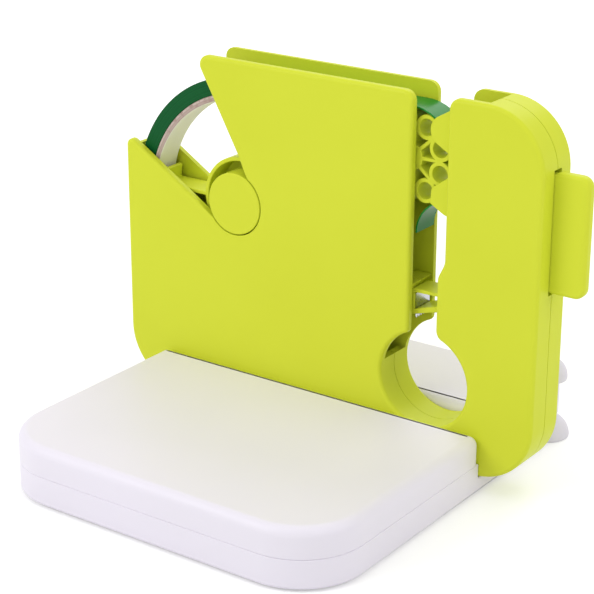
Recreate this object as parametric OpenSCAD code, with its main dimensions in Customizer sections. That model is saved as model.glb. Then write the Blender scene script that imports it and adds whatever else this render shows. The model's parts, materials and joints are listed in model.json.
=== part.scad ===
/* [Base] */
// Width of the base, across the slot
base_w = 126.7; // [120:0.1:134]
// Depth of the platform in front of the housing
platform_d = 87.8; // [78:0.1:100]
// Depth of the base behind the housing
rear_d = 39.7; // [34:0.1:48]
// Height of the base
base_h = 20.5; // [19.5:0.1:23]
// Height of the seam between the tray and its covers
base_split = 10.6; // [10:0.1:12]
// Plan radius of the front corners
base_front_r = 22; // [16:1:26]
// Plan radius of the rear corners
base_rear_r = 6; // [5.5:0.5:8]
// Plan radius where the covers meet the housing
base_inner_r = 2.5; // [2:0.5:4]
// Radius of the rounded top edge
base_edge_r = 3; // [2:0.5:4]
// Wall of the base shells
base_wall = 2.2; // [1.8:0.1:2.6]
// Height of the bed that the housing stands on
bed_h = 5.8; // [5:0.1:6.6]

/* [Housing] */
// Width of the housing
housing_w = 160; // [158:0.5:164]
// How far the housing overhangs the left side of the base
housing_overhang = 15.6; // [14:0.1:17]
// Height of the top edge above the ground
housing_top = 126.6; // [125.5:0.1:132]
// Thickness of the housing, front to rear
housing_t = 17.6; // [17.2:0.1:19]
// Thickness of each plate
plate_t = 2.6; // [2.2:0.1:2.8]
// Thickness of the wall round the rim
rim_t = 1.8; // [1.4:0.1:2]
// Radius of the large outer corners
housing_r = 20; // [17:1:22]
// Radius of the small top corners
housing_small_r = 3.5; // [2:0.5:4]

/* [Slot] */
// Left edge of the slot, from the base's left side
slot_x = 98.8; // [98:0.1:99.5]
// Width of the slot at its mouth
slot_mouth = 12.6; // [12:0.1:13.5]
// Width of the slot at its neck
slot_neck = 10.2; // [9.6:0.1:11]
// Height where the slot narrows
neck_z = 71; // [69.5:0.5:74]
// Radius of the round hole at the slot's foot
keyhole_r = 16; // [14.5:0.5:17]
// Height of that hole's centre
keyhole_z = 33.6; // [32.6:0.1:35]
// How far right of the slot's left edge that centre lies
keyhole_dx = 6; // [5:0.1:7]
// Wall of the tunnel round the hole
tunnel_t = 2.2; // [1.6:0.1:2.6]

/* [Tape] */
// Radius of the full winding
tape_r = 45.5; // [42:0.1:45.6]
// Outer radius of the core
core_r = 40.1; // [39.4:0.1:41]
// Inner radius of the core, a 76 mm core
core_bore_r = 38; // [37.6:0.1:38.6]
// Width of the tape
tape_w = 10.2; // [9.2:0.1:10.3]
// Thickness of the free stretch of tape
lead_t = 0.5; // [0.3:0.05:0.6]
// Length of the straight part of the loose tail
tail_l = 4; // [3:0.5:5]
// Radius of the tail's last bend
tail_r = 12; // [8:1:14]

/* [Wheels] */
// Radius at the tips of the finned wheel
fin_tip_r = 15.6; // [14.8:0.1:15.8]
// Outer radius of each loop on the finned wheel
loop_r = 4; // [3.6:0.1:4.4]
// Wall of each loop
loop_t = 1.3; // [1:0.1:1.6]
// Number of loops on the finned wheel
loops = 9; // [7:1:9]
// Distance from the star wheel's centre to the flat edges of its lobes
star_r = 17.5; // [16:0.1:17.6]
// Thickness of the star wheel's flanges
star_flange_t = 0.8; // [0.6:0.05:0.9]
// Radius of the star wheel's middle
star_sleeve_r = 3.5; // [2.8:0.1:3.6]
// Radius of the steel wheel axles
axle_r = 1.5; // [1.2:0.1:1.8]

/* [Cutter and trimmer] */
// Reach of the gate from its pin to its free end
gate_reach = 17.1; // [16.5:0.1:17.4]
// Height of the gate at its free end
gate_h = 8.8; // [7:0.1:9.5]
// Wall of the gate
gate_t = 1.2; // [1:0.1:1.4]
// How far the trimmer's tab stands out of the housing
tab_out = 11.6; // [11:0.1:13]
// Height of the tab
tab_h = 38.2; // [34:0.1:39]
// Thickness of the tab
tab_t = 4; // [3:0.1:5]
// Travel of the trimmer
trimmer_travel = 10; // [9:0.1:10.4]

/* [Hidden] */

LIME = [0.84, 0.88, 0.25];
WHITE = [0.93, 0.92, 0.95];
STEEL = [0.72, 0.73, 0.75];
RUBBER = [0.62, 0.62, 0.64];
SUCTION = [0.82, 0.81, 0.85];
GREEN = [0.05, 0.42, 0.16];
CARD = [0.74, 0.70, 0.66];

$fn = 96;
HULL_FN = 32;

// Clearances
fit = 0.05;       // a screw or rivet in its hole
running = 0.08;   // a wheel or lever on its pin, per side
free = 0.3;       // a moving face beside a fixed one
side_gap = 0.2;   // tape and flanges beside each other
channel_gap = 0.2; // housing in the base's channel, each side

// Frame: the origin is the middle of the footprint, on the ground.
// Inside each module X runs from the base's left side and Y from the housing's front face.
housing_x = -housing_overhang;
housing_x1 = housing_x + housing_w;
tab_x1 = housing_x1 + tab_out;
foot_inset = 4.5;
cup_r = 8;
base_y = -platform_d;
base_y1 = housing_t + channel_gap + rear_d;
rear_reach = base_y1 - foot_inset + cup_r;
middle_x = (housing_x + tab_x1) / 2;
middle_y = (base_y + rear_reach) / 2;

// Housing levels
inner_y = plate_t;
inner_y1 = housing_t - plate_t;
seam_y = housing_t / 2;
slot_x1 = slot_x + slot_mouth;
neck_x = slot_x + slot_neck;
keyhole_x = slot_x + keyhole_dx;
keyhole_lobe_r = 4;
keyhole_lip_r = 2;
keyhole_stock = 0.15;  // left on the outline, then bored out
neck_r = 5;
notch_tip = [14.2, housing_top];
notch_tip_r = 3.2;
notch_foot = [housing_x, 95];
notch_foot_r = 2.2;
tunnel_r = keyhole_r + tunnel_t;
tunnel_start = 170;
tunnel_sweep = 160;

// Tape roll and its hub: the core hangs on the hub's upper pad, so its centre lies lower
hub_c = [30.5, 78.3];
roll_c = hub_c + [1.6, -3.7];
tape_y = seam_y - tape_w / 2;
tape_y1 = seam_y + tape_w / 2;
hub_disc_r = 10.5;
hub_hole_gap = 0.4;
hub_ring_r = 15;
hub_ring_t = 1.4;
hub_ring_y = tape_y + side_gap;
hub_ring_y1 = tape_y1 - side_gap;
hub_skin = 1;      // left in front of the hub's screw
hub_face_gap = 0.4;
hub_spigot_r = 8;
hub_spigot_y = inner_y + 2;
hub_arm_t = 1.4;
hub_arm_root = 0.7;
hub_pad_r = core_bore_r - 3.8;
hub_pad_t = 1.4;
hub_pad_half = 9;
hub_arms = [60, 180, 300];
// The notch's two edges run in to the hub's hole
notch_top_foot = hub_c + [6.6, 7.6];
notch_low_foot = hub_c + [-7, -7.5];

// The free stretch of tape: off the top of the roll, over the finned wheel, and a cut tail
lead_leave = -50;
tail_turn = 50;

// Wheels
wheel_z = 105;
fin_depth = 2.9;  // centre of the finned wheel, left of the slot
star_depth = 4.8; // centre of the star wheel, right of the slot
fin_c = [slot_x - fin_depth, wheel_z];
star_c = [slot_x1 + star_depth, wheel_z];
loop_pitch_r = fin_tip_r - loop_r;
fin_hub_r = 4.5;
fin_t = 1.2;
star_y = inner_y + side_gap / 2;
star_y1 = inner_y1 - side_gap / 2;
// Each lobe of the star runs from a pointed corner to a round one
star_lobes = 3;
star_point = -12;
star_knee = -24.3;
star_knee_in = 3.2;
star_end = 30;
star_end_r = 5;
axle_seat = 1.7;
wheel_spacer_r = 2.2;

// Cutter gate
gate_c = [neck_x + 5.5, 60.5];
gate_pin_r = 1.2;
gate_hub_r = 3.2;
gate_pocket_r = gate_hub_r + 1.5;
gate_y = tape_y + 0.6;
gate_y1 = tape_y1 - 0.6;
gate_rise = 1.5;
shelf_t = 1.4;
shelf_l = 14.4;
shelf_x = slot_x - shelf_l - 0.4;
shelf_z = gate_c[1] + gate_rise + 0.2 + free;
gate_x = gate_c[0] - gate_reach;
gate_top = gate_c[1] + gate_rise;
gate_cheek = 0.3;  // how far the blade stays inside the gate's faces
cut_t = 0.4;
tooth_pitch = 1.2;
tooth_h = 0.9;
blade_x = gate_x + gate_t;
blade_z = gate_top - gate_h - 1.2;
blade_top = gate_top - gate_t - 0.3;
gate_spring_y = seam_y + 0.8;
gate_spring_r = 2.5;
gate_spring_wire = 0.25;
gate_spring_turns = 5;
spring_peg_r = 1.2;
spring_peg = gate_c + [7, spring_peg_r + gate_spring_wire + 0.1 - gate_spring_r];

// Trimmer
tab_z = 69.4;
tab_r = 3.5;
rim_slot_gap = 0.6;
carriage_t = 3.4;
carriage_h = 26;
carriage_y = inner_y + 1.7;
carriage_y1 = inner_y1 - 1.7;
carriage_x1 = housing_x1 - rim_t - free;
carriage_x = carriage_x1 - carriage_t;
spring_wall_t = 1.7;
spring_wall_over = 4;
spring_gap = trimmer_travel + 4;
spring_wall_x = carriage_x - spring_gap;
spring_z = [75.5, 82.8];
spring_r = 2.3;
spring_wire = 0.5;
spring_peg_l = 3.4;
bar_z = gate_c[1] + gate_hub_r + 0.6;
bar_h = 5.2;
bar_x = neck_x + 11;
knife_t = 0.5;
knife_seat = 11;
knife_lift = 0.5;
knife_slope = 4;
knife_tip = neck_x + 0.8;
knife_rivets = [bar_x + 3, bar_x + 8];
rivet_r = 0.9;
rivet_proud = 0.3;

// Screws and their bosses
shank_r = 1.3;
head_r = 2.5;
head_h = 1.8;
head_gap = 0.3;
shank_gap = 0.2;
boss_r = 3.5;
housing_bosses = [[3, 20], [55, 17], [keyhole_x - 26.8, 20], [shelf_x + 2, shelf_z - 0.5],
                  [housing_x1 - 9, 24], [housing_x1 - 7.6, 56], [housing_x1 - 7.9, housing_top - 11.1]];
housing_head_sunk = 3;
bed_boss_in = 30;
bed_boss_r = 2.6;
bed_boss_h = 8.4;
bed_boss_dy = 3.4;
bed_bosses = [for (x = [bed_boss_in, base_w - bed_boss_in], y = [-1, 1]) [x, seam_y + y * bed_boss_dy]];
bed_head_sunk = 2.6;

// Base
tray_floor = 0.8;
floor_t = 2;
head_pocket = 4.6;
cover_screw_bite = 5.6;
bed_screw_bite = 6;
front_bosses = [[32, base_y + 11], [base_w - 32, base_y + 11], [11, -13], [base_w - 11, -13]];
rear_bosses = [[30, base_y1 - 8], [base_w - 30, base_y1 - 8]];
pad_r = 6;
pad_seat = 0.8;
pad_spots = [[17, base_y + 16], [base_w - 17, base_y + 16], [22, base_y1 - 20], [base_w - 22, base_y1 - 20]];
foot_spots = [[foot_inset, base_y1 - foot_inset], [base_w - foot_inset, base_y1 - foot_inset]];
foot_neck_r = 1.6;
foot_head_r = 6.4;
cup_h = 8.2;
recess_r = cup_r + 0.7;
recess_h = cup_h + 0.6;

// ---------- outlines ----------

function unit(v) = v / norm(v);
function polar(r, a) = r * [cos(a), sin(a)];
function turn(a, b) = ((b - a + 540) % 360) - 180;

// Points of an arc, about 4 degrees apart
function arc(c, r, a, sweep) =
    let (n = max(2, ceil(abs(sweep) / 4)))
    [for (i = [0:n]) c + polar(r, a + sweep * i / n)];

// A corner b between a and d, rounded to radius r
function corner(a, b, d, r) =
    let (u = unit(a - b), w = unit(d - b), half = acos(u * w) / 2)
    let (c = b + unit(u + w) * r / sin(half))
    let (p = b + u * r / tan(half) - c, q = b + w * r / tan(half) - c)
    let (start = atan2(p[1], p[0]))
    arc(c, r, start, turn(start, atan2(q[1], q[0])));

// A closed outline from [x, z, radius] corners
function rounded(list) =
    [for (i = [0:len(list) - 1])
        let (n = len(list), before = list[(i + n - 1) % n], here = list[i], after = list[(i + 1) % n])
        let (a = [before[0], before[1]], b = [here[0], here[1]], d = [after[0], after[1]])
        each here[2] > 0 ? corner(a, b, d, here[2]) : [b]];

// Where a fillet of radius r between the upright line at x and the round hole touches that hole
function lobe(x, r, side) =
    let (dx = x + side * r - keyhole_x, reach = keyhole_r - keyhole_stock + r)
    let (c = [keyhole_x + dx, keyhole_z + sqrt(reach * reach - dx * dx)])
    [c, atan2(c[1] - keyhole_z, dx)];

right_lobe = lobe(neck_x, keyhole_lobe_r, 1);
left_lip = lobe(slot_x, keyhole_lip_r, -1);

// One housing plate: the large corners, the column, the slot, the round hole and the notch
function plate_points() = concat(
    arc([housing_x + housing_r, bed_h + housing_r], housing_r, 180, 90),
    arc([housing_x1 - housing_r, bed_h + housing_r], housing_r, 270, 90),
    arc([housing_x1 - housing_r, housing_top - housing_r], housing_r, 0, 90),
    arc([slot_x1 + housing_small_r, housing_top - housing_small_r], housing_small_r, 90, 90),
    corner([slot_x1, housing_top], [slot_x1, neck_z + 3], [neck_x, neck_z - 2], neck_r),
    corner([slot_x1, neck_z + 3], [neck_x, neck_z - 2], [neck_x, keyhole_z], neck_r),
    arc(right_lobe[0], keyhole_lobe_r, 180, right_lobe[1]),
    arc([keyhole_x, keyhole_z], keyhole_r - keyhole_stock, right_lobe[1], left_lip[1] - right_lobe[1] - 360),
    arc(left_lip[0], keyhole_lip_r, left_lip[1] - 180, 180 - left_lip[1]),
    arc([slot_x - housing_small_r, housing_top - housing_small_r], housing_small_r, 0, 90),
    corner([slot_x, housing_top], notch_tip, notch_top_foot, notch_tip_r),
    [notch_top_foot, notch_low_foot],
    corner(notch_low_foot, notch_foot, [housing_x, bed_h + housing_r], notch_foot_r));

module plate_shape() { polygon(plate_points()); }

module rim_shape(inset) {
    r = housing_r - inset;
    x0 = housing_x + inset;
    x1 = housing_x1 - inset;
    z0 = bed_h + inset;
    z1 = housing_top - inset;
    polygon(rounded([[x0, z0, r], [x1, z0, r], [x1, z1, r], [x0, z1, r]]));
}

// The rim is open along the top, beside the notch and at the slot
module rim_ring() {
    difference() {
        rim_shape(0);
        rim_shape(rim_t);
        translate([housing_x - 1, notch_foot[1] - 2 * notch_foot_r])
            square([housing_x1 - housing_r - housing_x + 1, housing_top]);
    }
}

module sector(r, a, sweep) {
    polygon(concat([[0, 0]], arc([0, 0], r, a, sweep)));
}

// ---------- helpers ----------

module in_frame() {
    translate([-middle_x, -middle_y, 0]) children();
}

// A flat shape in X and Z, standing from y0 to y1
module upright(y0, y1) {
    translate([0, y1, 0]) rotate([90, 0, 0]) linear_extrude(y1 - y0) children();
}

// A rod along Y through the point c in X and Z
module rod(c, r, y0, y1) {
    translate([c[0], y1, c[1]]) rotate([90, 0, 0]) cylinder(r = r, h = y1 - y0);
}

module post(c, r, z0, z1) {
    translate([c[0], c[1], z0]) cylinder(r = r, h = z1 - z0);
}

// A pan-head screw along +Z with its head down at z
module screw_up(c, z, l) {
    post(c, head_r, z, z + head_h);
    post(c, shank_r, z, z + head_h + l);
}

// A pan-head screw along -Y with its head at the rear, at y
module screw_front(c, y, l) {
    difference() {
        rod(c, head_r, y - head_h, y);
        translate([c[0] - 1.6, y - 0.8, c[1] - 0.3]) cube([3.2, 1, 0.6]);
        translate([c[0] - 0.3, y - 0.8, c[1] - 1.6]) cube([0.6, 1, 3.2]);
    }
    rod(c, shank_r, y - head_h - l, y - head_h);
}

// A round wire along points, as one closed tube of 6 sides
module wire(points, r) {
    n = len(points);
    sides = 6;
    rings = [for (i = [0:n - 1])
        let (t = unit(points[min(i + 1, n - 1)] - points[max(i - 1, 0)]))
        let (u = unit(cross(t, abs(t[2]) > 0.9 ? [1, 0, 0] : [0, 0, 1])), v = cross(t, u))
        for (k = [0:sides - 1]) points[i] + r * (cos(60 * k) * u + sin(60 * k) * v)];
    side_faces = [for (i = [0:n - 2]) for (k = [0:sides - 1])
        let (a = i * sides + k, b = i * sides + (k + 1) % sides)
        each [[a, b, a + sides], [b, b + sides, a + sides]]];
    start_cap = [for (k = [1:sides - 2]) [0, k + 1, k]];
    last = (n - 1) * sides;
    end_cap = [for (k = [1:sides - 2]) [last, last + k, last + k + 1]];
    polyhedron(concat(rings), concat(side_faces, start_cap, end_cap));
}

// ---------- base ----------

// The four corners of one block of the base: [x, y, radius]
front_corners = [[0, base_y, base_front_r], [base_w, base_y, base_front_r],
                 [base_w, -channel_gap, base_inner_r], [0, -channel_gap, base_inner_r]];
rear_corners = [[0, housing_t + channel_gap, base_inner_r], [base_w, housing_t + channel_gap, base_inner_r],
                [base_w, base_y1, base_rear_r], [0, base_y1, base_rear_r]];
tray_corners = [[0, base_y, base_front_r], [base_w, base_y, base_front_r],
                [base_w, base_y1, base_rear_r], [0, base_y1, base_rear_r]];

module block_shape(corners, inset) {
    mid = [base_w / 2, (corners[0][1] + corners[2][1]) / 2];
    polygon(rounded([for (c = corners)
        let (dx = sign(mid[0] - c[0]) * inset, dy = sign(mid[1] - c[1]) * inset)
        [c[0] + dx, c[1] + dy, max(c[2] - inset, 0.6)]]));
}

// A cover's outside: a block whose top edge is rounded
module cover_block(corners) {
    mid = [base_w / 2, (corners[0][1] + corners[2][1]) / 2];
    hull()
        for (c = corners) {
            r = max(c[2], base_edge_r + 0.2);
            e = base_edge_r;
            x = c[0] + sign(mid[0] - c[0]) * r;
            y = c[1] + sign(mid[1] - c[1]) * r;
            translate([x, y, base_split])
                rotate_extrude($fn = HULL_FN)
                    union() {
                        square([r, base_h - base_split - e]);
                        square([r - e, base_h - base_split]);
                        translate([r - e, base_h - base_split - e])
                            intersection() {
                                circle(e, $fn = HULL_FN);
                                square(e);
                            }
                    }
        }
}

module cover(corners, bosses) {
    top = base_h - base_wall;
    difference() {
        union() {
            difference() {
                cover_block(corners);
                translate([0, 0, base_split - 1])
                    linear_extrude(top - base_split + 1) block_shape(corners, base_wall);
            }
            for (b = bosses) post(b, boss_r, base_split, top + 0.4);
        }
        for (b = bosses) post(b, shank_r + fit, base_split - 1, top - 1);
    }
}

module platform_cover() {
    color(WHITE) in_frame() cover(front_corners, front_bosses);
}

module rear_cover() {
    color(WHITE) in_frame()
        difference() {
            union() {
                cover(rear_corners, rear_bosses);
                intersection() {
                    for (f = foot_spots) post(f, boss_r + 1, base_split, base_h - 1);
                    cover_block(rear_corners);
                }
            }
            for (f = foot_spots) post(f, foot_neck_r + fit, base_split - 1, base_h + 1);
        }
}

module tray_block() {
    translate([0, 0, tray_floor]) linear_extrude(base_split - tray_floor) block_shape(tray_corners, 0);
}

module base_tray() {
    bed_y = -channel_gap - base_wall;
    bed_w = housing_t + 2 * (channel_gap + base_wall);
    bed_in = 0.5;
    color(WHITE) in_frame()
        difference() {
            union() {
                difference() {
                    tray_block();
                    translate([0, 0, tray_floor + floor_t])
                        linear_extrude(base_split) block_shape(tray_corners, base_wall);
                }
                for (b = concat(front_bosses, rear_bosses)) post(b, boss_r, tray_floor, base_split);
                intersection() {
                    for (f = foot_spots) post(f, recess_r + 1.4, tray_floor, base_split);
                    tray_block();
                }
                translate([bed_in, bed_y, tray_floor]) cube([base_w - 2 * bed_in, bed_w, base_split - tray_floor]);
            }
            // channel for the housing
            translate([-1, -channel_gap, bed_h]) cube([base_w + 2, housing_t + 2 * channel_gap, base_split]);
            for (b = concat(front_bosses, rear_bosses)) {
                post(b, shank_r + shank_gap, 0, base_split + 1);
                post(b, head_r + head_gap, 0, tray_floor + head_pocket);
            }
            for (b = bed_bosses) {
                post(b, shank_r + shank_gap, 0, bed_h + 1);
                post(b, head_r + head_gap, 0, tray_floor + bed_head_sunk);
            }
            for (p = pad_spots) post(p, pad_r + shank_gap, 0, tray_floor + pad_seat);
            for (f = foot_spots) {
                post(f, recess_r, 0, recess_h);
                post(f, foot_neck_r + fit, 0, base_split + 1);
            }
        }
}

module base_screws() {
    seat = tray_floor + head_pocket;
    color(STEEL) in_frame()
        for (b = concat(front_bosses, rear_bosses))
            screw_up(b, seat - head_h, base_split - seat + cover_screw_bite);
}

module foot_pads() {
    color(RUBBER) in_frame()
        for (p = pad_spots) post(p, pad_r, 0, tray_floor + pad_seat);
}

// A suction cup, its neck and its round head, in one moulding
module suction_foot() {
    rotate_extrude()
        difference() {
            union() {
                // bell
                intersection() {
                    square([cup_r, cup_h]);
                    circle(cup_r);
                }
                square([foot_neck_r, base_h + 1]);
                // head, flat below and domed above
                intersection() {
                    translate([0, base_h]) square([foot_head_r, foot_head_r]);
                    translate([0, base_h + 1.2]) circle(foot_head_r);
                }
            }
            translate([0, -cup_r * 0.55]) circle(cup_r * 0.95);
            translate([-2 * cup_r, -1]) square([2 * cup_r, 3 * base_h]);
        }
}

module suction_feet() {
    color(SUCTION) in_frame()
        for (f = foot_spots) translate([f[0], f[1], 0]) suction_foot();
}

// ---------- housing ----------

// Walls that both halves share, drawn flat
module shared_walls() {
    rim_ring();
    // tunnel round the hole
    translate([keyhole_x, keyhole_z])
        intersection() {
            circle(tunnel_r);
            sector(2 * tunnel_r, tunnel_start, tunnel_sweep);
        }
    // shelf that stops the gate
    translate([shelf_x, shelf_z]) square([shelf_l, shelf_t]);
    // wall behind the trimmer's springs
    translate([spring_wall_x - spring_wall_t, spring_z[0] - spring_wall_over])
        square([spring_wall_t, spring_z[1] - spring_z[0] + 2 * spring_wall_over]);
}

// Holes and cuts that both halves share
module shared_cuts() {
    rod([keyhole_x, keyhole_z], keyhole_r, -1, housing_t + 1);
    // slot in the rim for the tab
    translate([housing_x1 - rim_t - 1, seam_y - tab_t / 2 - free, tab_z - rim_slot_gap])
        cube([rim_t + 2, tab_t + 2 * free, tab_h + 2 * rim_slot_gap]);
    rod(fin_c, axle_r, inner_y - axle_seat, inner_y1 + axle_seat);
    rod(star_c, axle_r, inner_y - axle_seat, inner_y1 + axle_seat);
    rod(gate_c, gate_pin_r, inner_y - axle_seat, inner_y1 + axle_seat);
    for (b = bed_bosses) post(b, shank_r + fit, bed_h - 1, bed_h + bed_boss_h - 0.4);
}

// Upright bosses over the bed's screws, in the front half (0) or the rear one (1)
module bed_boss(side) {
    for (i = [side:2:len(bed_bosses) - 1]) post(bed_bosses[i], bed_boss_r, bed_h, bed_h + bed_boss_h);
}

module front_housing() {
    color(LIME) in_frame()
        difference() {
            union() {
                upright(0, inner_y) plate_shape();
                upright(inner_y - 0.1, seam_y) shared_walls();
                for (b = housing_bosses) rod(b, boss_r, inner_y - 0.1, seam_y);
                bed_boss(0);
                rod(fin_c, wheel_spacer_r, inner_y - 0.1, tape_y);
                rod(gate_c, gate_hub_r, inner_y - 0.1, gate_y - side_gap);
            }
            shared_cuts();
            rod(hub_c, hub_disc_r + hub_hole_gap, -1, inner_y + 0.1);
            for (b = housing_bosses) rod(b, shank_r + fit, inner_y, seam_y + 1);
        }
}

module rear_housing() {
    color(LIME) in_frame()
        difference() {
            union() {
                upright(inner_y1, housing_t) {
                    plate_shape();
                    translate(hub_c) circle(hub_ring_r - hub_ring_t);
                }
                upright(seam_y, inner_y1 + 0.1) shared_walls();
                rod(spring_peg, spring_peg_r, gate_y1 - 0.9, inner_y1 + 0.1);
                for (b = housing_bosses) rod(b, boss_r, seam_y, inner_y1 + 0.1);
                bed_boss(1);
                rod(fin_c, wheel_spacer_r, tape_y1, inner_y1 + 0.1);
                rod(gate_c, gate_hub_r, gate_y1 + side_gap, inner_y1 + 0.1);
                rod(hub_c, hub_spigot_r, hub_spigot_y, housing_t);
            }
            shared_cuts();
            for (b = concat(housing_bosses, [hub_c])) {
                rod(b, shank_r + shank_gap, 0, housing_t + 1);
                rod(b, head_r + head_gap, housing_t - housing_head_sunk, housing_t + 1);
            }
        }
}

// A screw from the rear, with its head sunk and its tip at y
module housing_screw(c, y) {
    seat = housing_t - housing_head_sunk;
    screw_front(c, seat + head_h, seat - y);
}

module housing_screws() {
    color(STEEL) in_frame()
        for (b = housing_bosses) housing_screw(b, inner_y + 1);
}

module bed_screws() {
    seat = tray_floor + bed_head_sunk;
    color(STEEL) in_frame()
        for (b = bed_bosses) screw_up(b, seat - head_h, bed_h - seat + bed_screw_bite);
}

// ---------- tape ----------

// Three-armed hub, flush with the front plate, that the core hangs on
module tape_hub() {
    color(LIME) in_frame()
        difference() {
            union() {
                rod(hub_c, hub_disc_r, 0, hub_ring_y1);
                rod(hub_c, hub_ring_r, hub_ring_y1 - hub_ring_t, hub_ring_y1);
                ring(hub_c, hub_ring_r, hub_ring_r - hub_ring_t, hub_ring_y, hub_ring_y1);
                upright(hub_ring_y, hub_ring_y1)
                    translate(hub_c)
                        for (a = hub_arms) {
                            rotate(a) translate([hub_ring_r - hub_arm_root, -hub_arm_t / 2])
                                square([hub_pad_r - hub_ring_r, hub_arm_t]);
                            difference() {
                                intersection() {
                                    circle(hub_pad_r);
                                    sector(2 * hub_pad_r, a - hub_pad_half, 2 * hub_pad_half);
                                }
                                circle(hub_pad_r - hub_pad_t);
                            }
                        }
            }
            rod(hub_c, hub_spigot_r + fit, hub_spigot_y - hub_face_gap, housing_t);
            rod(hub_c, shank_r + fit, hub_skin, housing_t);
        }
}

module hub_screw() {
    color(STEEL) in_frame() housing_screw(hub_c, hub_skin + hub_face_gap);
}

module ring(c, r, bore, y0, y1) {
    difference() {
        rod(c, r, y0, y1);
        rod(c, bore, y0 - 1, y1 + 1);
    }
}

module tape_core() {
    color(CARD) in_frame() ring(roll_c, core_r, core_bore_r, tape_y, tape_y1);
}

module tape_winding() {
    color(GREEN) in_frame() ring(roll_c, tape_r, core_r, tape_y, tape_y1);
}

lead_r1 = tape_r + free + lead_t / 2;
lead_r2 = fin_tip_r + free + lead_t / 2;
lead_span = fin_c - roll_c;
lead_lean = atan2(lead_span[1], lead_span[0]) + acos((lead_r1 - lead_r2) / norm(lead_span));
tail_end = fin_c + polar(lead_r2, lead_leave) + tail_l * polar(1, lead_leave - 90);
tail_c = tail_end + polar(tail_r, lead_leave);

// [point, direction of the outer face] along the tape
lead_path = concat(
    [[roll_c + polar(lead_r1, lead_lean), lead_lean]],
    [for (i = [0:24]) let (a = lead_lean + (lead_leave - lead_lean) * i / 24)
        [fin_c + polar(lead_r2, a), a]],
    [for (i = [0:6]) let (a = lead_leave + tail_turn * i / 6)
        [tail_c - polar(tail_r, a), a]]);

module tape_lead() {
    outer = [for (p = lead_path) p[0] + polar(lead_t / 2, p[1])];
    inner = [for (i = [len(lead_path) - 1:-1:0]) lead_path[i][0] - polar(lead_t / 2, lead_path[i][1])];
    color(GREEN) in_frame() upright(tape_y, tape_y1) polygon(concat(outer, inner));
}

// ---------- wheels ----------

module finned_wheel() {
    y0 = tape_y + side_gap;
    y1 = tape_y1 - side_gap;
    color(LIME) in_frame()
        difference() {
            union() {
                rod(fin_c, fin_hub_r, y0, y1);
                upright(y0, y1)
                    translate(fin_c)
                        for (i = [0:loops - 1]) {
                            rotate(i * 360 / loops) translate([fin_hub_r - 1, -fin_t / 2])
                                square([loop_pitch_r - fin_hub_r + 1, fin_t]);
                            rotate((i + 0.5) * 360 / loops) translate([loop_pitch_r, 0])
                                difference() {
                                    circle(loop_r);
                                    circle(loop_r - loop_t);
                                }
                        }
            }
            rod(fin_c, axle_r + running, y0 - 1, y1 + 1);
        }
}

module axle(c) {
    rod(c, axle_r, inner_y - axle_seat, inner_y1 + axle_seat);
}

module finned_wheel_axle() { color(STEEL) in_frame() axle(fin_c); }

module star_axle() { color(STEEL) in_frame() axle(star_c); }

// Lobes with wide notches between them, one notch facing the slot
module star_shape() {
    knee = polar(star_r - star_knee_in, star_knee);
    for (i = [0:star_lobes - 1])
        rotate(i * 360 / star_lobes)
            polygon(rounded([[0, 0, 0],
                             [knee[0], knee[1], 1.5],
                             [star_r, star_r * tan(star_point), 0.4],
                             [star_r, star_r * tan(star_end), star_end_r]]));
}

// A flange from y_flange and half of the sleeve from y0 to y1
module star_half(y_flange, y0, y1) {
    difference() {
        union() {
            upright(y_flange, y_flange + star_flange_t) translate(star_c) star_shape();
            rod(star_c, star_sleeve_r, y0, y1);
        }
        rod(star_c, axle_r + running, 0, housing_t);
    }
}

module star_front() {
    color(LIME) in_frame() star_half(star_y, star_y, seam_y);
}

module star_rear() {
    color(LIME) in_frame() star_half(star_y1 - star_flange_t, seam_y, star_y1);
}

// ---------- cutter ----------

// The gate is an open triangle that tapers to its pin
module gate_shape(inset) {
    polygon([[gate_x + inset, gate_top + 0.2 - inset * 1.1],
             [gate_x + inset, gate_top - gate_h + inset * 1.7],
             [gate_c[0] - inset * 3.4, gate_c[1] - gate_hub_r + 0.6 + inset * 0.8],
             [gate_c[0] - inset * 3.4, gate_c[1] + gate_hub_r - 1.6 - inset * 0.8]]);
}

module cutter_gate() {
    color(LIME) in_frame()
        difference() {
            union() {
                upright(gate_y, gate_y1)
                    difference() {
                        gate_shape(0);
                        gate_shape(gate_t);
                    }
                rod(gate_c, gate_hub_r, gate_y, gate_spring_y - 0.3);
            }
            rod(gate_c, gate_pin_r + running, gate_y - 1, gate_y1 + 1);
            rod(gate_c, gate_pocket_r, gate_spring_y - 0.3, gate_y1 + 1);
            translate([blade_x - fit, gate_y + gate_cheek, blade_z - 2])
                cube([cut_t + 2 * fit, gate_y1 - gate_y - 2 * gate_cheek, blade_top + fit - blade_z + 2]);
        }
}

// Toothed blade in the free end of the gate
module cutter_blade() {
    y0 = gate_y + gate_cheek + fit;
    l = gate_y1 - gate_y - 2 * (gate_cheek + fit);
    n = floor(l / tooth_pitch);
    p = l / n;
    teeth = [for (i = [0:n - 1]) each [[i * p, tooth_h], [(i + 0.5) * p, 0]]];
    color(STEEL) in_frame()
        translate([blade_x, y0, blade_z])
            rotate([90, 0, 90])
                linear_extrude(cut_t)
                    polygon(concat(teeth, [[l, tooth_h], [l, blade_top - blade_z], [0, blade_top - blade_z]]));
}

module gate_pin() {
    color(STEEL) in_frame() rod(gate_c, gate_pin_r, inner_y - axle_seat, inner_y1 + axle_seat);
}

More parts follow.
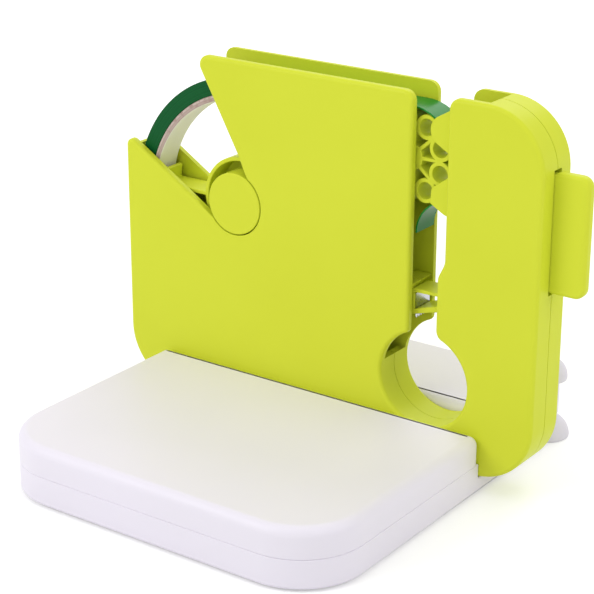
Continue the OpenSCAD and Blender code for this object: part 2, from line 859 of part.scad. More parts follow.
// Torsion spring: one leg under the gate's top strip, one under the peg
module gate_spring() {
    h = gate_y1 - gate_spring_y - 0.5;
    steps = 12 * gate_spring_turns;
    coil = [for (i = [0:steps])
        let (p = polar(gate_spring_r, 270 + 360 * gate_spring_turns * i / steps))
        [gate_c[0] + p[0], gate_spring_y + 0.4 + h * i / steps, gate_c[1] + p[1]]];
    lever = [[gate_c[0] - 9, coil[0][1], gate_c[1] - 0.2]];
    rest = [[gate_c[0] + 8.5, coil[steps][1], coil[steps][2]]];
    color(STEEL) in_frame() wire(concat(lever, coil, rest), gate_spring_wire);
}

// ---------- trimmer ----------

// The tab and its carriage, seen from the front
function tab_points() = rounded([
    [carriage_x, tab_z + 1, 0], [housing_x1 - 0.5, tab_z + 1, 0], [housing_x1 + 0.3, tab_z, 0],
    [tab_x1, tab_z, tab_r], [tab_x1, tab_z + tab_h, tab_r],
    [housing_x1 + 0.3, tab_z + tab_h, 0], [housing_x1 - 0.5, tab_z + tab_h - 1, 0],
    [carriage_x, tab_z + tab_h - 1, 0]]);

module trimmer_slider() {
    y0 = seam_y - tab_t / 2;
    y1 = seam_y + tab_t / 2;
    color(LIME) in_frame()
        difference() {
            union() {
                upright(y0, y1) polygon(tab_points());
                upright(carriage_y, carriage_y1)
                    translate([carriage_x, tab_z + 1]) square([carriage_t, carriage_h]);
                // arm and bar that hold the blade
                upright(y0, y1) {
                    translate([carriage_x, bar_z]) square([carriage_t, tab_z + 2 - bar_z]);
                    translate([bar_x, bar_z]) square([carriage_x1 - bar_x, bar_h]);
                }
                for (z = spring_z)
                    translate([carriage_x - spring_peg_l, seam_y, z]) rotate([0, 90, 0])
                        cylinder(r = spring_r - 1, h = spring_peg_l + 0.2);
            }
            translate([bar_x - 1, seam_y - knife_t / 2 - fit, bar_z + knife_lift - fit])
                cube([knife_seat + 1 + fit, knife_t + 2 * fit, bar_h]);
            for (x = knife_rivets) rod([x, bar_z + bar_h / 2], rivet_r, 0, housing_t);
        }
}

module trimmer_blade() {
    z0 = bar_z + knife_lift;
    z1 = bar_z + bar_h;
    x1 = bar_x + knife_seat;
    color(STEEL) in_frame()
        difference() {
            upright(seam_y - knife_t / 2, seam_y + knife_t / 2)
                polygon([[knife_tip, z1], [knife_tip + knife_slope, z0], [x1, z0], [x1, z1]]);
            for (x = knife_rivets) rod([x, bar_z + bar_h / 2], rivet_r, 0, housing_t);
        }
}

module blade_rivets() {
    color(STEEL) in_frame()
        for (x = knife_rivets)
            rod([x, bar_z + bar_h / 2], rivet_r,
                seam_y - tab_t / 2 - rivet_proud, seam_y + tab_t / 2 + rivet_proud);
}

// Two compression springs that push the trimmer back out
module trimmer_springs() {
    turns = 6;
    steps = 12 * turns;
    l = spring_gap - 0.6;
    color(STEEL) in_frame()
        for (z = spring_z)
            wire([for (i = [0:steps])
                let (p = polar(spring_r - spring_wire / 2, 360 * turns * i / steps))
                [spring_wall_x + 0.3 + l * i / steps, seam_y + p[0], z + p[1]]], spring_wire / 2);
}

base_tray();
platform_cover();
rear_cover();
base_screws();
foot_pads();
suction_feet();
front_housing();
rear_housing();
housing_screws();
bed_screws();
tape_hub();
hub_screw();
tape_core();
tape_winding();
tape_lead();
finned_wheel();
finned_wheel_axle();
star_front();
star_rear();
star_axle();
cutter_gate();
cutter_blade();
gate_pin();
gate_spring();
trimmer_slider();
trimmer_blade();
blade_rivets();
trimmer_springs();
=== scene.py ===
"""A bag neck sealer: a lime housing with a tape roll, a slot and tape wheels, on a white base."""
import json
from collections import namedtuple
from math import cos, radians, sin

import bmesh
import bpy
from mathutils import Matrix, Vector

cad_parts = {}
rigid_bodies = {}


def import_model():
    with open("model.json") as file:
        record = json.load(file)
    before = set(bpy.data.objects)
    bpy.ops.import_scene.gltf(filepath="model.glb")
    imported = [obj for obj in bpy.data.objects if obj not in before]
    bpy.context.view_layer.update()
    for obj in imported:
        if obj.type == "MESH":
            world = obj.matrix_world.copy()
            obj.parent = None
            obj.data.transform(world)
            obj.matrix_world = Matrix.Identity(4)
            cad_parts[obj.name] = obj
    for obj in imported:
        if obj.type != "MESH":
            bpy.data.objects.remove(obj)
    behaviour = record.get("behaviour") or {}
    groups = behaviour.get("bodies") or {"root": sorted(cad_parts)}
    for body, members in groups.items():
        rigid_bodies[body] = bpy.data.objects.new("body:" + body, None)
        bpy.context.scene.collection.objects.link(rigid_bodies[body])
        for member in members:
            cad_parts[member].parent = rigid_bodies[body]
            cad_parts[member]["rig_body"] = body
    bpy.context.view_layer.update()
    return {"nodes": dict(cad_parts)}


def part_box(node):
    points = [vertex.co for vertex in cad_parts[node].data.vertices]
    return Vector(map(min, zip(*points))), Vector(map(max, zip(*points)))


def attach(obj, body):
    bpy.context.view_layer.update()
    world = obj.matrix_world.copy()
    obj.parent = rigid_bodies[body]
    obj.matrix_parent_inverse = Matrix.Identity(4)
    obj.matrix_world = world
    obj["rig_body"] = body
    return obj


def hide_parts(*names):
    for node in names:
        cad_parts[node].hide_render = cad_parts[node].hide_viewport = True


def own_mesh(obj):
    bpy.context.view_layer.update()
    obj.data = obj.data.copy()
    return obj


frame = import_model()
scene = bpy.context.scene

MM = 0.001
WELD = 0.002 * MM
FLAT = radians(0.4)     # faces that turn less than this from each other are joined
SHARP = radians(32)     # edges sharper than this are rounded
SMOOTH = radians(38)    # edges flatter than this are shaded smooth
Y, Z = 1, 2             # places in a vector

# Rounded edges and seams: the width in millimetres, and the steps across it
Rounding = namedtuple("Rounding", "width steps")
HOUSING_EDGE = Rounding(1.3, 6)
HOUSING_SEAM = Rounding(0.3, 2)
HUB_GROOVE = Rounding(0.35, 3)
COVER_EDGE = Rounding(3.2, 6)
COVER_SEAM = Rounding(0.35, 2)
TRAY_EDGE = Rounding(1.2, 4)
TAB_EDGE = Rounding(1.3, 5)
FOOT_EDGE = Rounding(0.5, 3)
SMALL_EDGE = Rounding(0.25, 2)
SCREW_EDGE = Rounding(0.15, 2)

# The housing's rim, in millimetres
RIM_PIECE = 2           # the outline is cut about this often
HUB_NEAR = 12.5         # up to here from the hub's centre, the rim is as narrow as the hub's groove
HUB_FAR = 16.5          # from here on, it has its full width
MITRE_LEAST = 0.4       # least divisor of a corner's way in, so that a sharp corner's stays short

# The base, in millimetres
BASE_FRONT_R = 22
BASE_REAR_R = 6
BASE_INNER_R = 2.5
BASE_WALL = 2.2
BASE_CORNER_STEPS = 18
FOOT_NECK_R = 1.65
FOOT_CUP_R = 8.0
FOOT_HOLE_STEPS = 48

# The tape's core and winding, in millimetres
CORE_BORE_R = 38
CORE_R = 40.1
CORE_EDGE = 0.25
CORE_GROOVES = 3
WINDING_GAP = 0.05      # between the core and the winding
WINDING_EDGE = 0.2
WINDING_GROOVES = 9
GROOVE_DEPTH = 0.05
RING_STEPS = 160

# The trimmer
TAB_START = 0.3         # the tab's outer part begins this many millimetres past the housing

# Patterns in the materials: marks in a metre, and the stretch of a noise that is spread from 0 to 1
DRIFT_SCALE = 16
SCUFF_SCALE = 90
FLECK_SCALE = 700
GRAIN_SCALE = 1500
WINDING_RING_SCALE = 2600
CORE_RING_SCALE = 1400
SHADE_SPAN = (0.35, 0.65)
SCUFF_SPAN = (0.3, 0.7)
FLECK_SPAN = (0.5, 0.62)
BORE_FADE = (0.1 * MM, 0.3 * MM)    # the bore's paler colour, partly its paper and partly painted light, ends between these distances outside the bore

# The camera, in degrees, metres, and millimetres of lens and film
CAMERA_AZIMUTH = 35.456
CAMERA_ELEVATION = 20.681
CAMERA_ROLL = 0.128
CAMERA_PLACE = (0.31395, -0.44710, 0.26460)
CAMERA_LENS = 111.74
CAMERA_FILM = 36

# The floor and the light, in metres and watts
FLOOR_REACH = 4         # from the middle to each side
FLOOR_GREY = 0.86
FLOOR_ROUGHNESS = 0.9
GLOW_SPAN = (0.3, 1.2)  # from the first distance to the second, the floor's glow grows
GLOW_STRENGTH = (0.3, 1.0)
WORLD_STRENGTH = 0.6
LAMPS = (               # name, place, aim, side, power
    ("key", (-0.55, -0.9, 0.75), (0, 0, 0.06), 0.7, 5),
    ("top", (0.05, -0.25, 1.1), (0, -0.02, 0), 0.8, 1),
    ("side", (0.9, 0.05, 0.6), (0, 0, 0.06), 0.7, 2.2),
    ("rear", (-0.15, 0.8, 0.9), (0, 0, 0.04), 0.7, 3),
)


def middle(node):
    low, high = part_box(node)
    return (low + high) / 2


# ---------- materials ----------

Finish = namedtuple("Finish", "material slot")
MIX_INPUTS = (0, 6, 7)      # a colour mix's factor and its two colours, among the Mix node's inputs
MIX_RESULT = 2
PLAIN_WHITE = (1, 1, 1, 1)
DULL = 0.1                  # specular level of the wound tape, the core and the floor


def colour(red, green, blue):
    """A linear colour from 0 to 255 display values."""
    return tuple(((c / 255 + 0.055) / 1.055) ** 2.4 for c in (red, green, blue)) + (1.0,)


def start_group(name, inputs, outputs):
    """A shader node group with (name, kind) inputs and outputs. Each material sets its inputs' values."""
    group = bpy.data.node_groups.new(name, "ShaderNodeTree")
    for in_out, sockets in (("INPUT", inputs), ("OUTPUT", outputs)):
        for label, kind in sockets:
            group.interface.new_socket(name=label, in_out=in_out, socket_type="NodeSocket" + kind)
    return group, group.nodes.new("NodeGroupInput"), group.nodes.new("NodeGroupOutput")


def feed(tree, socket, value):
    """Links a socket to another node's output, or sets it to a plain value."""
    if hasattr(value, "is_linked"):
        tree.links.new(value, socket)
    else:
        socket.default_value = value


def math_node(tree, operation, *values):
    node = tree.nodes.new("ShaderNodeMath")
    node.operation = operation
    for socket, value in zip(node.inputs, values):
        feed(tree, socket, value)
    return node.outputs[0]


def mix_colour(tree, factor, first, second):
    """The first colour where the factor is 0, and the second where it is 1."""
    node = tree.nodes.new("ShaderNodeMix")
    node.data_type = "RGBA"
    for place, value in zip(MIX_INPUTS, (factor, first, second)):
        feed(tree, node.inputs[place], value)
    return node.outputs[MIX_RESULT]


def map_range(tree, value, from_low, from_high, to_low=0.0, to_high=1.0):
    node = tree.nodes.new("ShaderNodeMapRange")
    for socket, v in zip(node.inputs, (value, from_low, from_high, to_low, to_high)):
        feed(tree, socket, v)
    return node.outputs[0]


def noise(tree, vector, scale, detail=2.0):
    node = tree.nodes.new("ShaderNodeTexNoise")
    node.inputs["Scale"].default_value = scale
    node.inputs["Detail"].default_value = detail
    tree.links.new(vector, node.inputs["Vector"])
    return node.outputs["Fac"]


def moulded_group():
    """Slow drifts of colour, handling marks in the gloss and a fine spark-eroded grain."""
    group, given, out = start_group(
        "moulded_plastic",
        [("Colour", "Color"), ("Drift colour", "Color"), ("Drift", "Float"),
         ("Gloss low", "Float"), ("Gloss high", "Float")],
        [("Colour", "Color"), ("Roughness", "Float"), ("Height", "Float")])
    place = group.nodes.new("ShaderNodeTexCoord").outputs["Object"]
    slow = noise(group, place, DRIFT_SCALE)
    fine = noise(group, place, GRAIN_SCALE, 3)
    scuffs = noise(group, place, SCUFF_SCALE, 6)
    drift = math_node(group, "MULTIPLY", map_range(group, slow, *SHADE_SPAN), given.outputs["Drift"])
    tint = mix_colour(group, drift, given.outputs["Colour"], given.outputs["Drift colour"])
    gloss = map_range(group, scuffs, *SCUFF_SPAN, given.outputs["Gloss low"], given.outputs["Gloss high"])
    group.links.new(tint, out.inputs["Colour"])
    group.links.new(gloss, out.inputs["Roughness"])
    group.links.new(fine, out.inputs["Height"])
    return group


def layers_group():
    """The side of something wound: rings of slightly different shade round the axis along Y, and flecks.
    The bore is painted paler, partly for its paper and partly as painted light.
    """
    group, given, out = start_group(
        "wound_layers",
        [("Vector", "Vector"), ("Light", "Color"), ("Dark", "Color"), ("Ring scale", "Float"),
         ("Mottle", "Float"), ("Bore paper and painted light", "Color"), ("Bore radius", "Float")],
        [("Colour", "Color"), ("Height", "Float")])
    split = group.nodes.new("ShaderNodeSeparateXYZ")
    group.links.new(given.outputs["Vector"], split.inputs[0])
    x2 = math_node(group, "POWER", split.outputs[0], 2.0)
    z2 = math_node(group, "POWER", split.outputs[2], 2.0)
    radius = math_node(group, "SQRT", math_node(group, "ADD", x2, z2))
    rings = group.nodes.new("ShaderNodeTexNoise")
    rings.noise_dimensions = "1D"
    rings.inputs["Scale"].default_value = 1.0
    rings.inputs["Detail"].default_value = 4.0
    group.links.new(math_node(group, "MULTIPLY", radius, given.outputs["Ring scale"]), rings.inputs["W"])
    flecks = map_range(group, noise(group, given.outputs["Vector"], FLECK_SCALE, 4), *FLECK_SPAN)
    mottle = math_node(group, "MULTIPLY", flecks, given.outputs["Mottle"])
    shade = math_node(group, "MAXIMUM", map_range(group, rings.outputs["Fac"], *SHADE_SPAN), mottle)
    side = mix_colour(group, shade, given.outputs["Light"], given.outputs["Dark"])
    # The bore's colour is partly its paler paper and partly painted light, where light reaches into the
    # bore.
    out_from_bore = math_node(group, "SUBTRACT", radius, given.outputs["Bore radius"])
    in_bore = map_range(group, out_from_bore, *BORE_FADE, 1.0, 0.0)
    group.links.new(mix_colour(group, in_bore, side, given.outputs["Bore paper and painted light"]), out.inputs["Colour"])
    group.links.new(rings.outputs["Fac"], out.inputs["Height"])
    return group


MOULDED = moulded_group()
LAYERS = layers_group()


def shader_of(tree, kind="BSDF_PRINCIPLED"):
    return next(n for n in tree.nodes if n.type == kind)


def start_material(name, group, values):
    """A material with its shader and one placed group. Returns (material, shader, placed group)."""
    material = bpy.data.materials.new(name)
    material.use_nodes = True
    tree = material.node_tree
    placed = tree.nodes.new("ShaderNodeGroup")
    placed.node_tree = group
    for label, value in values.items():
        placed.inputs[label].default_value = value
    return material, shader_of(tree), placed


def add_bump(material, shader, height, depth):
    tree = material.node_tree
    bump = tree.nodes.new("ShaderNodeBump")
    bump.inputs["Strength"].default_value = 1.0
    bump.inputs["Distance"].default_value = depth
    tree.links.new(height, bump.inputs["Height"])
    tree.links.new(bump.outputs["Normal"], shader.inputs["Normal"])


def plastic(name, tint, drift_tint, drift, roughness, grain, specular=0.2, metallic=0.0, slot=None):
    """Plastic, rubber or metal. Its roughness lies between two values, and its grain is in millimetres."""
    low, high = roughness
    material, shader, placed = start_material(name, MOULDED, {
        "Colour": colour(*tint), "Drift colour": colour(*drift_tint), "Drift": drift,
        "Gloss low": low, "Gloss high": high})
    links = material.node_tree.links
    links.new(placed.outputs["Colour"], shader.inputs["Base Color"])
    links.new(placed.outputs["Roughness"], shader.inputs["Roughness"])
    shader.inputs["Metallic"].default_value = metallic
    shader.inputs["Specular IOR Level"].default_value = specular
    add_bump(material, shader, placed.outputs["Height"], grain * MM)
    return Finish(material, slot or name)


def steel(name, tint, drift_tint, roughness, grain):
    return plastic(name, tint, drift_tint, 1.0, roughness, grain, metallic=1.0)


def wound(name, slot, light, dark, ring_scale, roughness, depth,
          mottle=0.0, bore=(255, 255, 255), bore_r=0.0):
    """A roll or a core, ringed about the roll's axis, with a bore painted paler: partly its paper, partly
    painted light. Its rings' depth and its bore are in millimetres.
    """
    material, shader, placed = start_material(name, LAYERS, {
        "Light": colour(*light), "Dark": colour(*dark), "Ring scale": ring_scale, "Mottle": mottle,
        "Bore paper and painted light": colour(*bore), "Bore radius": bore_r * MM})
    tree = material.node_tree
    mapping = tree.nodes.new("ShaderNodeMapping")
    mapping.inputs["Location"].default_value = -middle("tape_winding")
    tree.links.new(tree.nodes.new("ShaderNodeTexCoord").outputs["Object"], mapping.inputs["Vector"])
    tree.links.new(mapping.outputs["Vector"], placed.inputs["Vector"])
    tree.links.new(placed.outputs["Colour"], shader.inputs["Base Color"])
    shader.inputs["Roughness"].default_value = roughness
    shader.inputs["Specular IOR Level"].default_value = DULL
    add_bump(material, shader, placed.outputs["Height"], depth * MM)
    return Finish(material, slot)


LIME = plastic("lime_plastic", (217, 226, 60), (212, 220, 54), 0.5, (0.36, 0.44), 0.004, specular=0.12)
WHITE = plastic("white_plastic", (241, 236, 247), (237, 233, 242), 0.5, (0.36, 0.44), 0.004, specular=0.3)
SUCTION = plastic("suction_rubber", (232, 228, 236), (222, 218, 228), 0.6, (0.38, 0.5), 0.01)
PAD = plastic("foot_rubber", (120, 120, 124), (108, 108, 112), 0.8, (0.7, 0.85), 0.03)
STEEL = steel("screw_steel", (196, 198, 202), (176, 178, 184), (0.28, 0.4), 0.004)
AXLE = steel("axle_steel", (204, 206, 210), (190, 192, 196), (0.18, 0.3), 0.002)
BLADE = steel("blade_steel", (212, 214, 218), (196, 198, 204), (0.2, 0.32), 0.006)
SPRING = steel("spring_steel", (190, 192, 196), (170, 172, 178), (0.3, 0.42), 0.002)
TAPE = wound("green_tape_roll", "green_tape", (14, 94, 46), (6, 80, 36), WINDING_RING_SCALE, 0.42, 0.02)
FILM = plastic("green_tape_film", (20, 140, 42), (10, 118, 32), 1.0, (0.24, 0.34), 0.002, slot="green_tape")
# The core's bore is painted near white: partly its paler inner paper, partly painted light for the light
# that falls into the bore.
CORE = wound("tape_core_card", "tape_core", (206, 190, 180), (166, 138, 130), CORE_RING_SCALE, 0.75, 0.03,
             mottle=0.8, bore=(242, 240, 230), bore_r=CORE_BORE_R)


# ---------- mesh helpers ----------

def placed_object(name, bm):
    """An object at the origin, which uses up the bmesh."""
    mesh = bpy.data.meshes.new(name)
    bm.to_mesh(mesh)
    bm.free()
    obj = bpy.data.objects.new(name, mesh)
    scene.collection.objects.link(obj)
    return obj


def cut(obj, tool):
    """Takes the tool's shape out of obj, and uses up the tool."""
    modifier = obj.modifiers.new("cut", "BOOLEAN")
    modifier.operation = "DIFFERENCE"
    modifier.solver = "EXACT"
    modifier.object = tool
    graph = bpy.context.evaluated_depsgraph_get()
    mesh = bpy.data.meshes.new_from_object(obj.evaluated_get(graph))
    obj.modifiers.clear()
    obj.data = mesh
    bpy.data.objects.remove(tool)


def finished(obj, finish, node):
    """Shades the piece, gives it its material and lets it stand for its CAD node, on that node's body."""
    obj.data.materials.clear()
    obj.data.materials.append(finish.material)
    obj.data.shade_smooth()
    obj.data.set_sharp_from_angle(angle=SMOOTH)
    weighted = obj.modifiers.new("face_normals", "WEIGHTED_NORMAL")
    weighted.keep_sharp = True
    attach(obj, frame["nodes"][node]["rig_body"])
    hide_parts(node)
    return obj


def bevel(bm, parts, width, steps, affect="EDGES"):
    """Rounds edges, or corners of a flat outline. The width is in millimetres."""
    if parts:
        bmesh.ops.bevel(bm, geom=parts, offset=width * MM, offset_type="OFFSET", segments=steps,
                        profile=0.5, affect=affect, clamp_overlap=False, material=-1)


def is_sharp(edge):
    return edge.is_manifold and edge.calc_face_angle() > SHARP


def edges_at(bm, axis, level):
    return [e for e in bm.edges if all(abs(v.co[axis] - level) < WELD for v in e.verts)]


def welded(node):
    """A copy of a CAD node's mesh, welded, with its flat faces joined."""
    bm = bmesh.new()
    bm.from_mesh(frame["nodes"][node].data)
    bmesh.ops.remove_doubles(bm, verts=bm.verts, dist=WELD)
    bmesh.ops.dissolve_limit(bm, angle_limit=FLAT, verts=bm.verts, edges=bm.edges)
    return bm


def softened(node, finish, rounding=SMALL_EDGE, wanted=is_sharp):
    """A welded copy of a CAD node whose wanted edges are rounded, or none where rounding is None."""
    bm = welded(node)
    if rounding:
        bevel(bm, [e for e in bm.edges if wanted(e)], *rounding)
    return finished(placed_object(node + "_finished", bm), finish, node)


def raise_faces(bm, faces, height):
    """Extrudes faces upwards and leaves the old ones in place."""
    made = bmesh.ops.extrude_face_region(bm, geom=faces)
    raised = [g for g in made["geom"] if isinstance(g, bmesh.types.BMVert)]
    bmesh.ops.translate(bm, verts=raised, vec=(0, 0, height))


# ---------- housing ----------

HUB_CENTRE = middle("hub_screw")


def rim_width(spot):
    """How far the outer edge is rounded: less beside the hub's disc."""
    reach = Vector((spot.x - HUB_CENTRE.x, spot.z - HUB_CENTRE.z)).length / MM
    share = min(max((reach - HUB_NEAR) / (HUB_FAR - HUB_NEAR), 0), 1)
    return (HUB_GROOVE.width + (HOUSING_EDGE.width - HUB_GROOVE.width) * share) * MM


def edge_loops(edges):
    """Splits edges into groups that hang together, with the most edges last."""
    left = dict.fromkeys(edges)
    loops = []
    while left:
        stack = [left.popitem()[0]]
        loop = []
        while stack:
            edge = stack.pop()
            loop.append(edge)
            near = [e for v in edge.verts for e in v.link_edges if e in left]
            for found in near:
                left.pop(found, None)
            stack += near
        loops.append(loop)
    return sorted(loops, key=len)


def open_loops(bm):
    return edge_loops([e for e in bm.edges if e.is_boundary])


def loop_verts(loop):
    """The vertices of a closed loop of edges, in order."""
    ordered = [loop[0].verts[0]]
    edge = loop[0]
    rest = set(loop)
    while edge:
        rest.discard(edge)
        ordered.append(edge.other_vert(ordered[-1]))
        edge = next((e for e in ordered[-1].link_edges if e in rest), None)
    return ordered[:-1]


def ways_in(spots):
    """For each corner of a closed outline in X and Z, where its rounding goes in by one unit."""
    around = list(zip(spots[-1:] + spots[:-1], spots, spots[1:] + spots[:1]))
    turn = 1 if sum(a.x * b.z - b.x * a.z for a, b, _ in around) > 0 else -1
    ways = []
    for before, here, after in around:
        sides = ((here - before).normalized(), (after - here).normalized())
        a, b = (Vector((-side.z, 0, side.x)) * turn for side in sides)
        ways.append((a + b) / max(1 + a.dot(b), MITRE_LEAST))
    return ways


def round_rim(bm, outline, y_face, side):
    """Builds a rounded rim on an open outline. Returns the edges of the smaller outline inside it."""
    ring = loop_verts(outline)
    spots = [v.co.copy() for v in ring]
    widths = [rim_width(spot) for spot in spots]
    ways = ways_in(spots)
    for vert, width in zip(ring, widths):
        vert.co.y = y_face - side * width
    for step in range(1, HOUSING_EDGE.steps + 1):
        angle = radians(90) * step / HOUSING_EDGE.steps
        inset, depth = 1 - cos(angle), 1 - sin(angle)
        inner = [bm.verts.new(spot + way * width * inset - Vector((0, side * width * depth, 0)))
                 for spot, way, width in zip(spots, ways, widths)]
        for i, vert in enumerate(ring):
            bm.faces.new((ring[i - 1], vert, inner[i], inner[i - 1]))
        ring = inner
    return [bm.edges.get((ring[i - 1], vert)) for i, vert in enumerate(ring)]


def housing_half(node, side):
    """A housing half: its outer face is taken off, the rim is built, and the face is set back inside it."""
    low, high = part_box(node)
    y_face, y_seam = (low.y, high.y) if side < 0 else (high.y, low.y)
    bm = welded(node)
    bevel(bm, [e for e in edges_at(bm, Y, y_seam) if is_sharp(e)], *HOUSING_SEAM)
    flat = [f for f in bm.faces if all(abs(v.co.y - y_face) < WELD for v in f.verts)]
    bmesh.ops.delete(bm, geom=flat, context="FACES")
    for edge in open_loops(bm)[-1]:
        cuts = int(edge.calc_length() / (RIM_PIECE * MM))
        if cuts:
            bmesh.ops.subdivide_edges(bm, edges=[edge], cuts=cuts)
    *holes, outline = open_loops(bm)
    borders = round_rim(bm, outline, y_face, side) + [e for hole in holes for e in hole]
    bmesh.ops.triangle_fill(bm, use_beauty=True, use_dissolve=False, edges=borders, normal=(0, side, 0))
    bmesh.ops.recalc_face_normals(bm, faces=bm.faces)
    return finished(placed_object(node + "_finished", bm), LIME, node)


housing_half("front_housing", -1)
housing_half("rear_housing", 1)


# ---------- base ----------

def plan_block(low, high, front_r, rear_r):
    """A block whose four upright edges are rounded, with its front corners at the lower Y."""
    bm = bmesh.new()
    spots = [(low.x, low.y), (high.x, low.y), (high.x, high.y), (low.x, high.y)]
    corners = [bm.verts.new((x, y, low.z)) for x, y in spots]
    bm.faces.new(corners)
    for pair, radius in ((corners[:2], front_r), (corners[2:], rear_r)):
        bevel(bm, pair, radius, BASE_CORNER_STEPS, "VERTICES")
    raise_faces(bm, bm.faces[:], high.z - low.z)
    bmesh.ops.recalc_face_normals(bm, faces=bm.faces)
    return bm


def disc_cutter(x, y, radius, z0, z1):
    bm = bmesh.new()
    bmesh.ops.create_cone(bm, cap_ends=True, segments=FOOT_HOLE_STEPS, radius1=radius, radius2=radius,
                          depth=z1 - z0)
    bmesh.ops.translate(bm, verts=bm.verts, vec=(x, y, (z0 + z1) / 2))
    return placed_object("cutter", bm)


def base_cover(node, front_r, rear_r, holes=()):
    """A cover with a rounded top, hollow from below, with holes for the necks of the suction feet."""
    low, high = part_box(node)
    bm = plan_block(low, high, front_r, rear_r)
    bevel(bm, edges_at(bm, Z, high.z), *COVER_EDGE)
    bevel(bm, edges_at(bm, Z, low.z), *COVER_SEAM)
    underside = [f for f in bm.faces if all(abs(v.co.z - low.z) < WELD for v in f.verts)]
    bmesh.ops.inset_region(bm, faces=underside, thickness=(BASE_WALL - COVER_SEAM.width) * MM,
                           use_even_offset=True)
    raise_faces(bm, underside, high.z - low.z - BASE_WALL * MM)
    bmesh.ops.delete(bm, geom=underside, context="FACES_ONLY")
    bmesh.ops.recalc_face_normals(bm, faces=bm.faces)
    obj = placed_object(node + "_finished", bm)
    for x, y in holes:
        cut(obj, disc_cutter(x, y, FOOT_NECK_R * MM, low.z - MM, high.z + MM))
    return finished(obj, WHITE, node)


def tray():
    """The lower shell, with a rounded edge where it meets the ground."""
    bm = welded("base_tray")
    loops = edge_loops([e for e in edges_at(bm, Z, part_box("base_tray")[0].z) if is_sharp(e)])
    outline = max(loops, key=lambda loop: sum(e.calc_length() for e in loop))
    bevel(bm, outline, *TRAY_EDGE)
    bevel(bm, [e for e in bm.edges if is_sharp(e)], *COVER_SEAM)
    return finished(placed_object("base_tray_finished", bm), WHITE, "base_tray")


feet_low, feet_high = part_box("suction_feet")
foot_y = feet_high.y - FOOT_CUP_R * MM
foot_spots = [(feet_low.x + FOOT_CUP_R * MM, foot_y), (feet_high.x - FOOT_CUP_R * MM, foot_y)]

base_cover("platform_cover", BASE_FRONT_R, BASE_INNER_R)
base_cover("rear_cover", BASE_INNER_R, BASE_REAR_R, foot_spots)
tray()
softened("suction_feet", SUCTION, FOOT_EDGE)
softened("foot_pads", PAD)
for screws in ("base_screws", "housing_screws", "bed_screws", "hub_screw"):
    softened(screws, STEEL, SCREW_EDGE)


# ---------- tape ----------

def tape_ring(node, finish, inner_r, edge, grooves):
    """A ring round an axis along Y. Its sides have shallow grooves, as where layers end."""
    low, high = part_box(node)
    centre = middle(node)
    outer_r = (high.x - low.x) / 2 / MM
    step = (outer_r - inner_r - 2 * edge) / grooves
    side = [(inner_r + edge + i * step / 2, GROOVE_DEPTH * (i % 2)) for i in range(2 * grooves + 1)]
    front = [(inner_r, edge)] + side + [(outer_r, edge)]
    profile = [(r, low.y / MM + depth) for r, depth in front]
    profile += [(r, high.y / MM - depth) for r, depth in reversed(front)]
    bm = bmesh.new()
    verts = [bm.verts.new((centre.x + r * MM, y * MM, centre.z)) for r, y in profile]
    edges = [bm.edges.new((a, b)) for a, b in zip(verts, verts[1:] + verts[:1])]
    bmesh.ops.spin(bm, geom=verts + edges, cent=centre, axis=(0, 1, 0), angle=radians(360),
                   steps=RING_STEPS, use_merge=True)
    bmesh.ops.remove_doubles(bm, verts=bm.verts, dist=WELD)
    bmesh.ops.recalc_face_normals(bm, faces=bm.faces)
    return finished(placed_object(node + "_finished", bm), finish, node)


tape_ring("tape_winding", TAPE, CORE_R + WINDING_GAP, WINDING_EDGE, WINDING_GROOVES)
tape_ring("tape_core", CORE, CORE_BORE_R, CORE_EDGE, CORE_GROOVES)
softened("tape_lead", FILM, None)
softened("tape_hub", LIME, HUB_GROOVE)


# ---------- wheels, gate and trimmer ----------

tab_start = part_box("front_housing")[1].x + TAB_START * MM


def is_sharp_on_tab(edge):
    return is_sharp(edge) and all(v.co.x > tab_start - WELD for v in edge.verts)


for lime_piece in ("finned_wheel", "star_front", "star_rear", "cutter_gate"):
    softened(lime_piece, LIME)
softened("trimmer_slider", LIME, TAB_EDGE, is_sharp_on_tab)
for pin in ("finned_wheel_axle", "star_axle", "gate_pin", "blade_rivets"):
    softened(pin, AXLE, SCREW_EDGE)
for blade in ("cutter_blade", "trimmer_blade"):
    softened(blade, BLADE, None)
softened("gate_spring", SPRING, None)
springs = softened("trimmer_springs", SPRING, None)
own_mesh(springs)


# ---------- stage ----------

def ray_mask(tree):
    """1 where the camera sees a thing, straight or through glass or a reflection."""
    path = tree.nodes.new("ShaderNodeLightPath")
    seen = math_node(tree, "MAXIMUM", path.outputs["Is Camera Ray"], path.outputs["Is Glossy Ray"])
    return math_node(tree, "MAXIMUM", seen, path.outputs["Is Transmission Ray"])


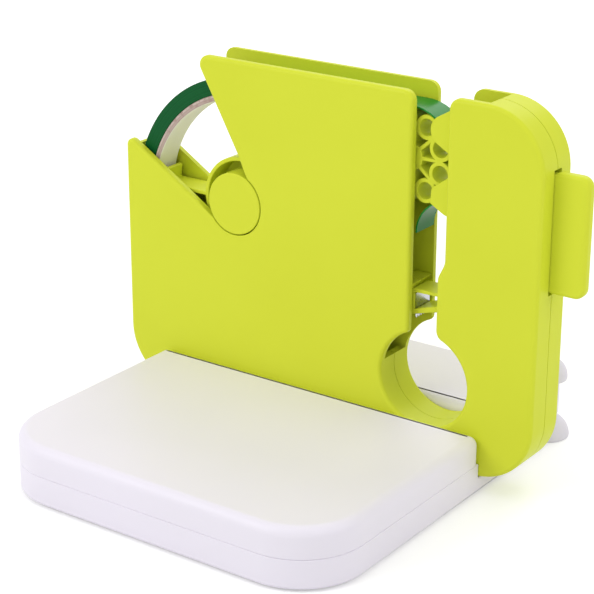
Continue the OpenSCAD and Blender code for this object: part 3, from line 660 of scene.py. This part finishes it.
def make_floor():
    """A pale floor that glows more the further out it is, so that it runs into the background."""
    bm = bmesh.new()
    bmesh.ops.create_grid(bm, x_segments=1, y_segments=1, size=FLOOR_REACH)
    floor = placed_object("floor", bm)
    material = bpy.data.materials.new("pale_floor")
    material.use_nodes = True
    tree = material.node_tree
    shader = shader_of(tree)
    shader.inputs["Base Color"].default_value = (FLOOR_GREY, FLOOR_GREY, FLOOR_GREY, 1)
    shader.inputs["Roughness"].default_value = FLOOR_ROUGHNESS
    shader.inputs["Specular IOR Level"].default_value = DULL
    shader.inputs["Emission Color"].default_value = PLAIN_WHITE
    away = tree.nodes.new("ShaderNodeVectorMath")
    away.operation = "LENGTH"
    tree.links.new(tree.nodes.new("ShaderNodeTexCoord").outputs["Object"], away.inputs[0])
    glow = map_range(tree, away.outputs["Value"], *GLOW_SPAN, *GLOW_STRENGTH)
    tree.links.new(math_node(tree, "MULTIPLY", ray_mask(tree), glow), shader.inputs["Emission Strength"])
    floor.data.materials.append(material)


def make_world():
    """White where the camera sees it, and a weaker white as light."""
    world = bpy.data.worlds.new("studio")
    scene.world = world
    world.use_nodes = True
    tree = world.node_tree
    background = shader_of(tree, "BACKGROUND")
    background.inputs["Color"].default_value = PLAIN_WHITE
    strength = map_range(tree, ray_mask(tree), 0.0, 1.0, WORLD_STRENGTH, 1.0)
    tree.links.new(strength, background.inputs["Strength"])


def make_lamp(name, place, aim, side, power):
    data = bpy.data.lights.new(name, "AREA")
    data.shape = "SQUARE"
    data.size = side
    data.energy = power
    lamp = bpy.data.objects.new(name, data)
    lamp.location = place
    lamp.rotation_euler = (Vector(aim) - Vector(place)).to_track_quat("-Z", "Y").to_euler()
    scene.collection.objects.link(lamp)


def make_camera():
    """A camera whose roll turns it a little about its own line of sight."""
    azimuth, elevation, roll = radians(CAMERA_AZIMUTH), radians(CAMERA_ELEVATION), radians(CAMERA_ROLL)
    back = Vector((sin(azimuth) * cos(elevation), -cos(azimuth) * cos(elevation), sin(elevation)))
    right = Vector((cos(azimuth), sin(azimuth), 0))
    up = back.cross(right)
    turned_right = cos(roll) * right + sin(roll) * up
    turned_up = cos(roll) * up - sin(roll) * right
    data = bpy.data.cameras.new("camera")
    data.lens = CAMERA_LENS
    data.sensor_width = CAMERA_FILM
    camera = bpy.data.objects.new("camera", data)
    matrix = Matrix((turned_right, turned_up, back)).transposed().to_4x4()
    matrix.translation = Vector(CAMERA_PLACE)
    camera.matrix_world = matrix
    scene.collection.objects.link(camera)
    scene.camera = camera


make_floor()
make_world()
for lamp_values in LAMPS:
    make_lamp(*lamp_values)
make_camera()
scene.view_settings.view_transform = "Standard"
